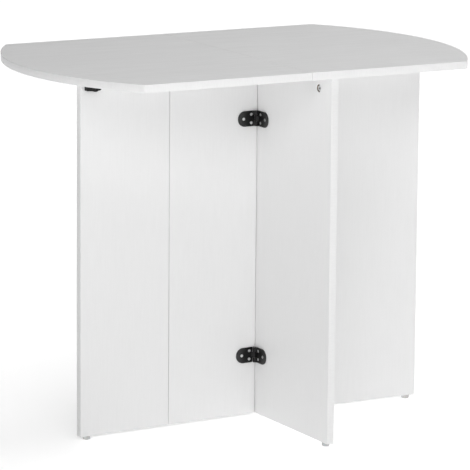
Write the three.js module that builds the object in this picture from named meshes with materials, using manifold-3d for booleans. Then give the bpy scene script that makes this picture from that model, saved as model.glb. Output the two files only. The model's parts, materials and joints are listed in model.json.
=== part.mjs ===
// A gateleg table in white-coated board. The right half of the top is fixed on an upright cross panel
// and a side panel. The left half is a drop leaf, held up by a gate of two hinged panels.
// Millimetres, +Z up, with the origin on the floor under the middle of the top. +X runs along the
// table's length towards the fixed half, and -Y is the near side, where the gate hinges are.
import * as THREE from "three";
import { mergeVertices } from "three/addons/utils/BufferGeometryUtils.js";
import Module from "manifold-3d";

const wasm = await Module();
wasm.setup();

// Overall sizes
const TABLE_HEIGHT = 740;
const TOP_LENGTH = 900;
const TOP_WIDTH = 600;
const END_BOW = 100; // how far each bowed end stands out past its corners
const BOARD = 15; // thickness of every board
const TOUCH = 0.3; // gap left where two pieces rest on each other
const FOOT_HEIGHT = 7;

// Where the boards stand
const SEAM_X = 5;
const SEAM_GAP = 0.6;
const CROSS_X = 58.5; // left face of the cross panel
const CROSS_WIDTH = 562;
const SIDE_END_X = 426;
const GATE_TOP_GAP = 12; // from the gate panels to the underside of the leaf
const GATE_LENGTH = 400.3; // from the cross panel to the gate's outer end
const GATE_INNER = 201.3; // from the cross panel to the middle of the gate's seam
const GATE_END_GAP = 0.5;
const GATE_SEAM_GAP = 1;
const GATE_ANGLE = 3; // degrees that the gate stands short of square

// Hinges, all of one kind
const PIN_OFFSET = 4.3; // from a board's face to the pin's axis
const PIN_RADIUS = 1.5;
const BORE_RADIUS = 1.8;
const KNUCKLE_RADIUS = 3.6;
const CENTRE_KNUCKLE = 11.2; // length of the middle knuckle
const KNUCKLE_GAP = 0.4;
const LEAF_HALF_WIDTH = 15.5; // along the pin
const LEAF_START = 4.2; // from the pin's axis to the near edge of the plate
const LEAF_REACH = 41; // from the pin's axis to the tip
const PLATE_FRONT = 2; // the plate lies between these distances from the pin, towards the board
const PLATE_BACK = 4;
const GATE_PIN_Y = 1.6;
const HINGE_HEIGHTS = { lower: 128, upper: 606 };
const SEAM_HINGE_Y = 200;
const LEAF_SCREWS = [[11, 8.4], [11, -8.4], [28.5, 0]]; // distance from the pin, place along it

// Screws, cam locks, dowels, feet and the catch
const SCREW_HEAD_RADIUS = 3;
const SCREW_SHANK_RADIUS = 1.5;
const SCREW_HEAD_DEPTH = 2;
const SCREW_LENGTH = 12;
const CATCH_SCREW_LENGTH = 19;
const CLEARANCE = 0.35; // round a shank, head, stem or dowel in its hole
const CAM_RADIUS = 7.2;
const CAM_RECESS = 1;
const CAM_POCKET = 12.9;
const CAM_EDGE = 27; // from a cam's centre to the edge that its bolt enters
const BOLT_DEPTH = 10.5; // how far the bolt's thread runs into the other board
const CROSS_CAM_Y = 233;
const SIDE_TOP_CAM_X = [150, 370];
const SIDE_END_CAM_Z = [110, 600];
const DOWEL_RADIUS = 4;
const DOWEL_EDGE_DEPTH = 20; // in the edge of one board
const DOWEL_FACE_DEPTH = 9.5; // in the face of the other
const FOOT_RADIUS = 8;
const FOOT_INSET = 17.5; // from a panel's end to the foot's middle
const FOOT_ROUND = 2;
const STEM_RADIUS = 2;
const STEM_LENGTH = 12;
const CATCH_FROM_END = 9.3; // from the gate's outer end
const CATCH_WIDTH = 31.6;
const CATCH_THICKNESS = 9;
const CATCH_HEIGHT = 35.7;
const CATCH_NIB = [0.62, 5, 2.5]; // share of the width where its middle is, half its width, its drop

// Places worked out from the sizes above
const UNDERSIDE = TABLE_HEIGHT - BOARD;
const PANEL_TOP = UNDERSIDE - TOUCH;
const GATE_TOP = UNDERSIDE - GATE_TOP_GAP;
const CROSS_RIGHT = CROSS_X + BOARD;
const CROSS_MIDDLE = CROSS_X + BOARD / 2;
const SIDE_START_X = CROSS_RIGHT + TOUCH;
const CORNER_X = TOP_LENGTH / 2 - END_BOW;
const GATE_PIN_X = CROSS_X - PIN_OFFSET;
const GATE_MIDDLE_Y = PIN_OFFSET + BOARD / 2; // in the gate's own frame, whose origin is its pin
const GATE_END_X = PIN_OFFSET - GATE_LENGTH;
const FOLD_X = PIN_OFFSET - GATE_INNER;
const FOLD_Y = BOARD + 2 * PIN_OFFSET;

const plain = (color, roughness, metalness = 0) => () =>
  new THREE.MeshStandardMaterial({ color, roughness, metalness });
const whiteBoard = plain(0xf0f0ee, 0.5);
const blackPlastic = plain(0x1b1b1c, 0.45);
const steel = plain(0xb9bbbe, 0.3, 1);
const zinc = plain(0x9a9c9e, 0.4, 1);
const greyPlastic = plain(0xd0d0ce, 0.5);
const beech = plain(0xc8a878, 0.7);

// ---- Solids ----

// A closed three.js geometry, moved by a matrix, as a solid that can be cut and joined.
function toSolid(geometry, matrix = new THREE.Matrix4()) {
  const bare = geometry.clone().applyMatrix4(matrix);
  bare.deleteAttribute("normal");
  bare.deleteAttribute("uv");
  const merged = mergeVertices(bare, 1e-4);
  const corners = merged.index.array;
  const kept = [];
  for (let i = 0; i < corners.length; i += 3) {
    const [a, b, c] = corners.slice(i, i + 3);
    if (a !== b && b !== c && c !== a) kept.push(a, b, c);
  }
  return new wasm.Manifold(new wasm.Mesh({
    numProp: 3,
    vertProperties: new Float32Array(merged.attributes.position.array),
    triVerts: new Uint32Array(kept),
  }));
}

function toMesh(name, solid, makeMaterial) {
  const { vertProperties, triVerts } = solid.getMesh();
  const geometry = new THREE.BufferGeometry();
  geometry.setAttribute("position", new THREE.BufferAttribute(vertProperties, 3));
  geometry.setIndex(new THREE.BufferAttribute(triVerts, 1));
  geometry.computeVertexNormals();
  const mesh = new THREE.Mesh(geometry, makeMaterial());
  mesh.name = name;
  return mesh;
}

const join = (solids) => solids.reduce((whole, next) => whole.add(next));
const cut = (solid, tools) => tools.reduce((left, tool) => left.subtract(tool), solid);

function block([x0, y0, z0], [x1, y1, z1], matrix) {
  const geometry = new THREE.BoxGeometry(Math.abs(x1 - x0), Math.abs(y1 - y0), Math.abs(z1 - z0));
  geometry.translate((x0 + x1) / 2, (y0 + y1) / 2, (z0 + z1) / 2);
  return toSolid(geometry, matrix);
}

// A round bar between two points, which may taper.
function rod(from, to, radius, { endRadius = radius, sides = 12, matrix } = {}) {
  const start = new THREE.Vector3(...from);
  const run = new THREE.Vector3(...to).sub(start);
  const geometry = new THREE.CylinderGeometry(endRadius, radius, run.length(), sides);
  geometry.translate(0, run.length() / 2, 0);
  const up = new THREE.Vector3(0, 1, 0);
  geometry.applyQuaternion(new THREE.Quaternion().setFromUnitVectors(up, run.normalize()));
  geometry.translate(...from);
  return toSolid(geometry, matrix);
}

// A turned piece about the Y axis. Its profile rises from the axis and comes back to it.
function turned(profile, sides, matrix) {
  const points = profile.map(([radius, height]) => new THREE.Vector2(radius, height));
  return toSolid(new THREE.LatheGeometry(points, sides), matrix);
}

const at = (x, y, z) => new THREE.Matrix4().makeTranslation(x, y, z);
const facing = (xAxis, yAxis, zAxis) => new THREE.Matrix4().makeBasis(
  new THREE.Vector3(...xAxis), new THREE.Vector3(...yAxis), new THREE.Vector3(...zAxis));

// ---- Screws and hinges ----
// A hinge's own frame has its pin along Z through the origin, with the board's face at
// Y = PIN_OFFSET. One leaf runs to +X and the other to -X. One of them has the two outer
// knuckles, and the other has the middle knuckle.

// A countersunk screw with a cross recess. Its head is flush with Y = 0 and it points to +Y.
function screw(length, matrix) {
  const tip = length - 3;
  const body = turned([
    [0, 0], [SCREW_HEAD_RADIUS, 0], [SCREW_SHANK_RADIUS, SCREW_HEAD_DEPTH],
    [SCREW_SHANK_RADIUS, tip], [0, length],
  ], 12, matrix);
  const recess = [
    block([-1.8, -1, -0.4], [1.8, 1.1, 0.4], matrix),
    block([-0.4, -1, -1.8], [0.4, 1.1, 1.8], matrix),
  ];
  return cut(body, recess);
}

// The hole for a screw: a pilot hole, and a countersink at Y = 0 if it is asked for.
function screwHole(length, matrix, countersunk = true) {
  const shank = SCREW_SHANK_RADIUS + CLEARANCE;
  const pilot = rod([0, -1, 0], [0, length + CLEARANCE, 0], shank, { sides: 8, matrix });
  if (!countersunk) return pilot;
  const slope = (SCREW_HEAD_RADIUS - SCREW_SHANK_RADIUS) / SCREW_HEAD_DEPTH;
  const mouth = SCREW_HEAD_RADIUS + CLEARANCE + slope;
  const sink = rod([0, -1, 0], [0, SCREW_HEAD_DEPTH, 0], mouth, { endRadius: shank, sides: 8, matrix });
  return pilot.add(sink);
}

const screwPlaces = (side, placing) => LEAF_SCREWS.map(([out, along]) =>
  placing.clone().multiply(at(side * out, PLATE_FRONT, along)));

function hingePlate(side) {
  const round = LEAF_REACH - LEAF_HALF_WIDTH;
  const outline = new THREE.Shape();
  outline.moveTo(side * LEAF_START, -LEAF_HALF_WIDTH);
  outline.lineTo(side * round, -LEAF_HALF_WIDTH);
  outline.absarc(side * round, 0, LEAF_HALF_WIDTH, -Math.PI / 2, Math.PI / 2, side < 0);
  outline.lineTo(side * LEAF_START, LEAF_HALF_WIDTH);
  const plate = new THREE.ExtrudeGeometry(outline, {
    depth: PLATE_BACK - PLATE_FRONT, bevelEnabled: false, curveSegments: 5,
  });
  plate.rotateX(Math.PI / 2);
  plate.translate(0, PLATE_BACK, 0);
  return toSolid(plate);
}

function knuckle(side, low, high) {
  const barrel = rod([0, 0, low], [0, 0, high], KNUCKLE_RADIUS);
  const web = block([0, PLATE_FRONT, low], [side * (LEAF_START + 1), KNUCKLE_RADIUS, high]);
  return barrel.add(web);
}

function hingeLeaf(side, outerKnuckles) {
  const inner = CENTRE_KNUCKLE / 2;
  const outer = inner + KNUCKLE_GAP;
  const spans = outerKnuckles
    ? [[-LEAF_HALF_WIDTH, -outer], [outer, LEAF_HALF_WIDTH]]
    : [[-inner, inner]];
  const knuckles = spans.map(([low, high]) => knuckle(side, low, high));
  const reach = LEAF_HALF_WIDTH + 1;
  const bore = rod([0, 0, -reach], [0, 0, reach], BORE_RADIUS, { sides: 10 });
  const holes = screwPlaces(side, new THREE.Matrix4()).map((place) => screwHole(SCREW_LENGTH, place));
  return cut(join([hingePlate(side), ...knuckles]), [bore, ...holes]);
}

const hingePin = () =>
  rod([0, 0, -LEAF_HALF_WIDTH], [0, 0, LEAF_HALF_WIDTH], PIN_RADIUS, { sides: 10 });

const pilotHoles = (side, placing) =>
  screwPlaces(side, placing).map((place) => screwHole(SCREW_LENGTH, place, false));

function placed(name, solid, makeMaterial, matrix) {
  const mesh = toMesh(name, solid, makeMaterial);
  mesh.applyMatrix4(matrix);
  return mesh;
}

// ---- Cam locks, dowels and feet ----
// A cam lock's own frame has the board's face at Z = 0, facing +Z, and its bolt arrives along Y
// from the board's edge at Y = CAM_EDGE.

const CAM_MIDDLE = -BOARD / 2;

function cam(matrix) {
  const body = rod([0, 0, -CAM_POCKET + TOUCH], [0, 0, -CAM_RECESS], CAM_RADIUS, { sides: 18, matrix });
  const channel = block([-4, -4.2, CAM_MIDDLE - 4], [4, 8, CAM_MIDDLE + 4], matrix);
  const slots = [
    block([-3.2, -0.7, -3], [3.2, 0.7, 0], matrix),
    block([-0.7, -3.2, -3], [0.7, 3.2, 0], matrix),
  ];
  return cut(body, [channel, ...slots]);
}

function camBolt(matrix) {
  const placing = matrix.clone().multiply(at(0, 0, CAM_MIDDLE));
  const end = CAM_EDGE + TOUCH + BOLT_DEPTH;
  return turned([
    [0, -3.2], [2.2, -3.2], [3.4, -2], [3.4, -1], [2, 0.2], [2, 4], [3.3, 5],
    [3.3, CAM_EDGE - 0.5], [2.4, CAM_EDGE + 0.5], [2.4, end], [0, end],
  ], 8, placing);
}

function camCuts(matrix) {
  const pocket = rod([0, 0, -CAM_POCKET], [0, 0, 1], CAM_RADIUS + CLEARANCE, { sides: 18, matrix });
  const entry = rod([0, 0, CAM_MIDDLE], [0, CAM_EDGE + 1, CAM_MIDDLE], 3.3 + CLEARANCE, { matrix });
  return [pocket, entry];
}

const boltHole = (matrix) => rod([0, CAM_EDGE - 1, CAM_MIDDLE],
  [0, CAM_EDGE + 2 * TOUCH + BOLT_DEPTH, CAM_MIDDLE], 2.4 + CLEARANCE, { matrix });

// A dowel's own frame has the joint between the two boards at Y = 0, with the face that it enters
// at +Y and the edge at -Y.
const dowel = (matrix) =>
  rod([0, -DOWEL_EDGE_DEPTH, 0], [0, DOWEL_FACE_DEPTH, 0], DOWEL_RADIUS, { matrix });
const dowelHole = (matrix) => rod([0, -DOWEL_EDGE_DEPTH - TOUCH, 0],
  [0, DOWEL_FACE_DEPTH + 2 * TOUCH, 0], DOWEL_RADIUS + CLEARANCE, { matrix });

// A foot stands on the floor under its own origin, with +Y up.
function foot(matrix) {
  const top = FOOT_HEIGHT - TOUCH;
  const inner = FOOT_RADIUS - FOOT_ROUND;
  const bend = FOOT_ROUND * (1 - Math.SQRT1_2);
  return turned([
    [0, 0], [inner, 0], [FOOT_RADIUS - bend, bend], [FOOT_RADIUS, FOOT_ROUND], [FOOT_RADIUS, top],
    [STEM_RADIUS, top], [STEM_RADIUS, FOOT_HEIGHT + STEM_LENGTH - 2], [0, FOOT_HEIGHT + STEM_LENGTH],
  ], 14, matrix);
}

const stemHole = (matrix) => rod([0, FOOT_HEIGHT - 1, 0],
  [0, FOOT_HEIGHT + STEM_LENGTH + TOUCH, 0], STEM_RADIUS + CLEARANCE, { sides: 8, matrix });

// ---- Where everything goes ----

const standing = new THREE.Matrix4().makeRotationX(Math.PI / 2); // turns a piece's +Y up
const gateHinge = (height) => at(0, 0, height);
const frameHinge = (height) =>
  at(GATE_PIN_X, GATE_PIN_Y, height).multiply(new THREE.Matrix4().makeRotationZ(-Math.PI / 2));
const foldHinge = (height) =>
  at(FOLD_X, FOLD_Y, height).multiply(new THREE.Matrix4().makeRotationZ(Math.PI));
const seamHinge = (y) => at(SEAM_X, y, UNDERSIDE - PIN_OFFSET).multiply(standing);

const heights = Object.values(HINGE_HEIGHTS);
const seamHinges = { near: -SEAM_HINGE_Y, far: SEAM_HINGE_Y };
const camHeight = PANEL_TOP - CAM_EDGE;

// The three ways that a cam lock faces: on the cross panel's left face, and on the side panel's far
// face with its bolt going up into the top or across into the cross panel.
const onCross = facing([0, -1, 0], [0, 0, 1], [-1, 0, 0]);
const onSideTop = facing([-1, 0, 0], [0, 0, 1], [0, 1, 0]);
const onSideEnd = facing([0, 0, -1], [-1, 0, 0], [0, 1, 0]);
const endCamX = SIDE_START_X + CAM_EDGE;
const [innerCamX, outerCamX] = SIDE_TOP_CAM_X;
const [lowerCamZ, upperCamZ] = SIDE_END_CAM_Z;
const crossCams = {
  cross_near: at(CROSS_X, -CROSS_CAM_Y, camHeight).multiply(onCross),
  cross_far: at(CROSS_X, CROSS_CAM_Y, camHeight).multiply(onCross),
};
const sideTopCams = {
  side_top_inner: at(innerCamX, BOARD / 2, camHeight).multiply(onSideTop),
  side_top_outer: at(outerCamX, BOARD / 2, camHeight).multiply(onSideTop),
};
const sideEndCams = {
  side_end_lower: at(endCamX, BOARD / 2, lowerCamZ).multiply(onSideEnd),
  side_end_upper: at(endCamX, BOARD / 2, upperCamZ).multiply(onSideEnd),
};

const alongX = new THREE.Matrix4().makeRotationZ(Math.PI / 2); // turns a piece's +Y to -X
const crossDowels = {
  cross_dowel_near: at(CROSS_MIDDLE, -150, PANEL_TOP).multiply(standing),
  cross_dowel_far: at(CROSS_MIDDLE, 150, PANEL_TOP).multiply(standing),
};
const sideTopDowels = { side_dowel_top: at(260, 0, PANEL_TOP).multiply(standing) };
const sideEndDowels = {
  side_dowel_lower: at(SIDE_START_X, 0, 200).multiply(alongX),
  side_dowel_upper: at(SIDE_START_X, 0, 500).multiply(alongX),
};

const crossFeet = {
  foot_cross_near: at(CROSS_MIDDLE, FOOT_INSET - CROSS_WIDTH / 2, 0).multiply(standing),
  foot_cross_far: at(CROSS_MIDDLE, CROSS_WIDTH / 2 - FOOT_INSET, 0).multiply(standing),
};
const sideFeet = { foot_side: at(SIDE_END_X - FOOT_INSET, 0, 0).multiply(standing) };
const gateFeet = { foot_gate: at(GATE_END_X + FOOT_INSET, GATE_MIDDLE_Y, 0).multiply(standing) };

// ---- Boards ----

// Half of the top: a straight seam edge, two straight sides and a bowed end. Side is 1 for the
// fixed half and -1 for the leaf.
function topHalf(side, tools) {
  const half = TOP_WIDTH / 2;
  const radius = (half * half + END_BOW * END_BOW) / (2 * END_BOW);
  const sweep = Math.asin(half / radius);
  const centre = side * (TOP_LENGTH / 2 - radius);
  const seam = SEAM_X + side * SEAM_GAP / 2;
  const outline = new THREE.Shape();
  outline.moveTo(seam, -half);
  outline.lineTo(side * CORNER_X, -half);
  if (side > 0) outline.absarc(centre, 0, radius, -sweep, sweep, false);
  else outline.absarc(centre, 0, radius, Math.PI + sweep, Math.PI - sweep, true);
  outline.lineTo(seam, half);
  const board = new THREE.ExtrudeGeometry(outline, {
    depth: BOARD, bevelEnabled: false, curveSegments: 16,
  });
  return cut(toSolid(board, at(0, 0, UNDERSIDE)), tools);
}

const seamPilots = (side) => Object.values(seamHinges).flatMap((y) => pilotHoles(side, seamHinge(y)));

const fixedHalf = () => topHalf(1, [
  ...seamPilots(1),
  ...Object.values({ ...crossCams, ...sideTopCams }).map(boltHole),
  ...Object.values({ ...crossDowels, ...sideTopDowels }).map(dowelHole),
]);

const crossPanel = () => cut(
  block([CROSS_X, -CROSS_WIDTH / 2, FOOT_HEIGHT], [CROSS_RIGHT, CROSS_WIDTH / 2, PANEL_TOP]), [
    ...Object.values(crossCams).flatMap(camCuts),
    ...Object.values(sideEndCams).map(boltHole),
    ...Object.values({ ...crossDowels, ...sideEndDowels }).map(dowelHole),
    ...Object.values(crossFeet).map(stemHole),
    ...heights.flatMap((height) => pilotHoles(1, frameHinge(height))),
  ]);

const sidePanel = () => cut(
  block([SIDE_START_X, -BOARD / 2, FOOT_HEIGHT], [SIDE_END_X, BOARD / 2, PANEL_TOP]), [
    ...Object.values({ ...sideTopCams, ...sideEndCams }).flatMap(camCuts),
    ...Object.values({ ...sideTopDowels, ...sideEndDowels }).map(dowelHole),
    ...Object.values(sideFeet).map(stemHole),
  ]);

const innerGatePanel = () => cut(
  block([FOLD_X + GATE_SEAM_GAP / 2, PIN_OFFSET, FOOT_HEIGHT],
    [PIN_OFFSET - GATE_END_GAP, PIN_OFFSET + BOARD, GATE_TOP]), [
    ...heights.flatMap((height) => pilotHoles(-1, gateHinge(height))),
    ...heights.flatMap((height) => pilotHoles(-1, foldHinge(height))),
  ]);

const outerGatePanel = () => cut(
  block([GATE_END_X, PIN_OFFSET, FOOT_HEIGHT],
    [FOLD_X - GATE_SEAM_GAP / 2, PIN_OFFSET + BOARD, GATE_TOP]), [
    ...heights.flatMap((height) => pilotHoles(1, foldHinge(height))),
    ...Object.values(gateFeet).map(stemHole),
    ...catchScrewPlaces.map((place) => screwHole(CATCH_SCREW_LENGTH, place, false)),
  ]);

// ---- The catch ----
// A moulded block on the front of the gate's outer end, with a thumb nib along its lower edge. It
// carries the leaf, and a lug behind it rests on the gate's top edge.

const catchLeft = GATE_END_X + CATCH_FROM_END;
const catchFront = PIN_OFFSET - TOUCH - CATCH_THICKNESS;
const catchScrewPlaces = [0.28, 0.72].map((share) =>
  at(catchLeft + share * CATCH_WIDTH, catchFront, GATE_TOP - CATCH_THICKNESS));

function gateCatch() {
  const top = UNDERSIDE - TOUCH;
  const bottom = top - CATCH_HEIGHT;
  const right = catchLeft + CATCH_WIDTH;
  const [nibShare, nibHalfWidth, nibDrop] = CATCH_NIB;
  const nib = catchLeft + nibShare * CATCH_WIDTH;
  const outline = new THREE.Shape();
  outline.moveTo(catchLeft, bottom);
  outline.lineTo(nib - nibHalfWidth, bottom);
  outline.lineTo(nib - nibHalfWidth / 2, bottom - nibDrop);
  outline.lineTo(nib + nibHalfWidth / 2, bottom - nibDrop);
  outline.lineTo(nib + nibHalfWidth, bottom);
  outline.lineTo(right, bottom);
  outline.lineTo(right, top);
  outline.lineTo(catchLeft, top);
  const front = new THREE.ExtrudeGeometry(outline, { depth: CATCH_THICKNESS, bevelEnabled: false });
  front.rotateX(Math.PI / 2);
  front.translate(0, PIN_OFFSET - TOUCH, 0);
  const lug = block([catchLeft, PIN_OFFSET - 1, GATE_TOP + TOUCH], [right, PIN_OFFSET + BOARD - 1, top]);
  const holes = catchScrewPlaces.map((place) => screwHole(CATCH_SCREW_LENGTH, place));
  return cut(toSolid(front).add(lug), holes);
}

// ---- Assembly ----

const table = new THREE.Group();
const gate = new THREE.Group();
gate.position.set(GATE_PIN_X, GATE_PIN_Y, 0);
gate.rotation.z = THREE.MathUtils.degToRad(GATE_ANGLE);
table.add(gate);

table.add(
  toMesh("top_fixed_half", fixedHalf(), whiteBoard),
  toMesh("top_drop_leaf", topHalf(-1, seamPilots(-1)), whiteBoard),
  toMesh("cross_panel", crossPanel(), whiteBoard),
  toMesh("side_panel", sidePanel(), whiteBoard),
);
gate.add(
  toMesh("gate_inner_panel", innerGatePanel(), whiteBoard),
  toMesh("gate_outer_panel", outerGatePanel(), whiteBoard),
);

// The two gate hinges are fitted opposite ways up, so the lower one has its middle knuckle on the
// gate's leaf and the upper one has it on the frame's leaf.
for (const [level, height] of Object.entries(HINGE_HEIGHTS)) {
  const isLower = level === "lower";
  const onFrame = frameHinge(height);
  const onGate = gateHinge(height);
  const onFold = foldHinge(height);
  table.add(
    placed(`gate_hinge_${level}_frame_leaf`, hingeLeaf(1, isLower), blackPlastic, onFrame),
    placed(`gate_hinge_${level}_pin`, hingePin(), steel, onFrame),
  );
  gate.add(
    placed(`gate_hinge_${level}_gate_leaf`, hingeLeaf(-1, !isLower), blackPlastic, onGate),
    placed(`fold_hinge_${level}_inner_leaf`, hingeLeaf(-1, false), blackPlastic, onFold),
    placed(`fold_hinge_${level}_outer_leaf`, hingeLeaf(1, true), blackPlastic, onFold),
    placed(`fold_hinge_${level}_pin`, hingePin(), steel, onFold),
  );
  screwPlaces(1, onFrame).forEach((place, index) => table.add(
    toMesh(`gate_hinge_${level}_frame_screw_${index + 1}`, screw(SCREW_LENGTH, place), steel)));
  screwPlaces(-1, onGate).forEach((place, index) => gate.add(
    toMesh(`gate_hinge_${level}_gate_screw_${index + 1}`, screw(SCREW_LENGTH, place), steel)));
}

for (const [end, y] of Object.entries(seamHinges)) {
  table.add(
    placed(`seam_hinge_${end}_fixed_leaf`, hingeLeaf(1, true), blackPlastic, seamHinge(y)),
    placed(`seam_hinge_${end}_drop_leaf`, hingeLeaf(-1, false), blackPlastic, seamHinge(y)),
    placed(`seam_hinge_${end}_pin`, hingePin(), steel, seamHinge(y)),
  );
}

for (const [name, place] of Object.entries({ ...crossCams, ...sideTopCams, ...sideEndCams })) {
  table.add(toMesh(`cam_${name}`, cam(place), zinc), toMesh(`cam_bolt_${name}`, camBolt(place), steel));
}
for (const [name, place] of Object.entries({ ...crossDowels, ...sideTopDowels, ...sideEndDowels })) {
  table.add(toMesh(name, dowel(place), beech));
}
for (const [name, place] of Object.entries({ ...crossFeet, ...sideFeet })) {
  table.add(toMesh(name, foot(place), greyPlastic));
}
for (const [name, place] of Object.entries(gateFeet)) {
  gate.add(toMesh(name, foot(place), greyPlastic));
}

gate.add(toMesh("gate_catch", gateCatch(), blackPlastic));
catchScrewPlaces.forEach((place, index) => gate.add(
  toMesh(`gate_catch_screw_${index + 1}`, screw(CATCH_SCREW_LENGTH, place), steel)));

export default table;
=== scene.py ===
"""The looks of a white gateleg table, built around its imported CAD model.

Every board is a laminated core with its own edge band, the black hinges are moulded leaves with
interleaved knuckles, and the cam locks, screws, feet and catch are modelled where the frame has them.
Metres, +Z up, in the frame of the CAD model.
"""
import json
import math

import bmesh
import bpy
from mathutils import Matrix, Vector


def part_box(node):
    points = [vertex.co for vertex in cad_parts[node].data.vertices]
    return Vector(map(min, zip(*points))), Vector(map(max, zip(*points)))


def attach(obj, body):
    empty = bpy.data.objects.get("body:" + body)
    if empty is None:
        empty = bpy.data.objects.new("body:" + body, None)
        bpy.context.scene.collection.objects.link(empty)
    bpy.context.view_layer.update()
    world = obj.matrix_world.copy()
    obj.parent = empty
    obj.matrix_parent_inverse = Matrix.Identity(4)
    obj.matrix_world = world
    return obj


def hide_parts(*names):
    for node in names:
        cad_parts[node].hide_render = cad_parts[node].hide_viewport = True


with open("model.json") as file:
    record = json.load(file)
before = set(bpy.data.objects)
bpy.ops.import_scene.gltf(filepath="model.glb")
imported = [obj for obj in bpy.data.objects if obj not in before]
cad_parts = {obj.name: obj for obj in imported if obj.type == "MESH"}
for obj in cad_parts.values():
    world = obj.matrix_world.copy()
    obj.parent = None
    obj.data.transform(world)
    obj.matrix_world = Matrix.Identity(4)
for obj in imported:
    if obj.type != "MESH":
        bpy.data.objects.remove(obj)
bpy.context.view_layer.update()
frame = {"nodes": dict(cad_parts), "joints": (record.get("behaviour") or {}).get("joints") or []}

MM = 0.001

# Sizes that the frame's boxes don't give, all in metres
GATE_ANGLE = math.radians(3)
BAND = 0.9 * MM  # thickness of the edge band
BAND_ROUND = 0.6 * MM  # radius along a board's edges
GLUE_LINE = 0.06 * MM  # groove between the band and the laminate
PANEL_CORNER = 1.2 * MM
SEAM_CORNER = 1.2 * MM
TOP_CORNER = 10 * MM
PIN_RADIUS = 1.5 * MM
BORE_RADIUS = 1.75 * MM
KNUCKLE_RADIUS = 3.6 * MM
CENTRE_KNUCKLE = 11.2 * MM
KNUCKLE_GAP = 0.4 * MM
LEAF_HALF_WIDTH = 15.5 * MM
LEAF_START = 3.45 * MM
LEAF_REACH = 41 * MM
PLATE_FRONT = 2 * MM
PLATE_BACK = 4 * MM
LEAF_SCREWS = ((11 * MM, 8.4 * MM), (11 * MM, -8.4 * MM), (28.5 * MM, 0))
HEAD_RADIUS = 3 * MM
SHANK_RADIUS = 1.5 * MM
HEAD_DEPTH = 2 * MM
SCREW_LENGTH = 12 * MM
CATCH_SCREW_LENGTH = 19 * MM
HOLE_CLEARANCE = 0.35 * MM
HOLE_OVERRUN = 0.3 * MM  # how far a drilled hole reaches past both ends of what it holds
BOLT_BORE_RADIUS = 3.65 * MM
BOLT_THREAD_HOLE_RADIUS = 2.75 * MM
DOWEL_HOLE_RADIUS = 4.35 * MM
STEM_RADIUS = 2 * MM

# The camera: where it stands, which way it looks and how long its lens is
CAMERA_PLACE = (-3.2573, -5.9026, 1.6998)
CAMERA_YAW = math.radians(28.942)
CAMERA_PITCH = math.radians(11.106)
CAMERA_ROLL = math.radians(0.463)
CAMERA_LENS = 266.2
SENSOR = 36

LEVELS = ("lower", "upper")
ENDS = ("near", "far")
X, Y, Z = Vector((1, 0, 0)), Vector((0, 1, 0)), Vector((0, 0, 1))


# ---- Places from the frame ----

def basis(x_axis, y_axis, z_axis, origin=(0, 0, 0)):
    """A placement from three axes and an origin."""
    turn = Matrix((x_axis, y_axis, z_axis)).transposed().to_4x4()
    return Matrix.Translation(Vector(origin)) @ turn


def middle(node):
    low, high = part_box(node)
    return (low + high) / 2


def joint_place(name):
    return Vector(next(j["pos_m"] for j in frame["joints"] if j["name"] == name))


gate_pin = joint_place("gate_swing")
GATE = Matrix.Translation((gate_pin.x, gate_pin.y, 0)) @ Matrix.Rotation(GATE_ANGLE, 4, "Z")


def local_box(node, placing):
    """A CAD node's lowest and highest corners, measured along a placement's own axes."""
    back = placing.inverted()
    points = [back @ vertex.co for vertex in frame["nodes"][node].data.vertices]
    low = Vector(min(p[axis] for p in points) for axis in range(3))
    high = Vector(max(p[axis] for p in points) for axis in range(3))
    return low, high


# ---- Materials ----

def new_material(name, roughness, metallic=0.0):
    """A material with its nodes, its links and its main shader, which holds the constant values."""
    material = bpy.data.materials.new(name)
    material.use_nodes = True
    tree = material.node_tree
    shader = tree.nodes["Principled BSDF"]
    shader.inputs["Roughness"].default_value = roughness
    shader.inputs["Metallic"].default_value = metallic
    return material, tree, shader


def own_coordinates(tree, scale):
    """The piece's own coordinates, multiplied by scale along each axis."""
    place = tree.nodes.new("ShaderNodeTexCoord")
    mapping = tree.nodes.new("ShaderNodeMapping")
    mapping.inputs["Scale"].default_value = scale
    tree.links.new(place.outputs["Object"], mapping.inputs["Vector"])
    return mapping.outputs["Vector"]


def stretched_noise(tree, stretch, scale, detail=3.0, roughness=0.6):
    """A noise pattern in the piece's own coordinates, drawn out by stretch along each axis."""
    noise = tree.nodes.new("ShaderNodeTexNoise")
    noise.inputs["Scale"].default_value = scale
    noise.inputs["Detail"].default_value = detail
    noise.inputs["Roughness"].default_value = roughness
    tree.links.new(own_coordinates(tree, stretch), noise.inputs["Vector"])
    return noise.outputs["Fac"]


def nearness(tree, reach):
    """A value that falls from 1 at the piece's origin to 0 at the distance reach from it."""
    gradient = tree.nodes.new("ShaderNodeTexGradient")
    gradient.gradient_type = "SPHERICAL"
    tree.links.new(own_coordinates(tree, (1 / reach,) * 3), gradient.inputs["Vector"])
    return gradient.outputs["Fac"]


def ramp(tree, source, dark, light, low=0.3, high=0.7):
    """A colour that runs from dark to light as source runs from low to high."""
    node = tree.nodes.new("ShaderNodeValToRGB")
    node.color_ramp.elements[0].position = low
    node.color_ramp.elements[1].position = high
    node.color_ramp.elements[0].color = (*dark, 1)
    node.color_ramp.elements[1].color = (*light, 1)
    tree.links.new(source, node.inputs["Fac"])
    return node.outputs["Color"]


def blend(tree, first, second, kind="MULTIPLY"):
    """Two colours multiplied, or put together in another of the mix node's ways."""
    node = tree.nodes.new("ShaderNodeMix")
    node.data_type = "RGBA"
    node.blend_type = kind
    node.inputs["Factor"].default_value = 1
    tree.links.new(first, node.inputs["A"])
    tree.links.new(second, node.inputs["B"])
    return node.outputs["Result"]


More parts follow.
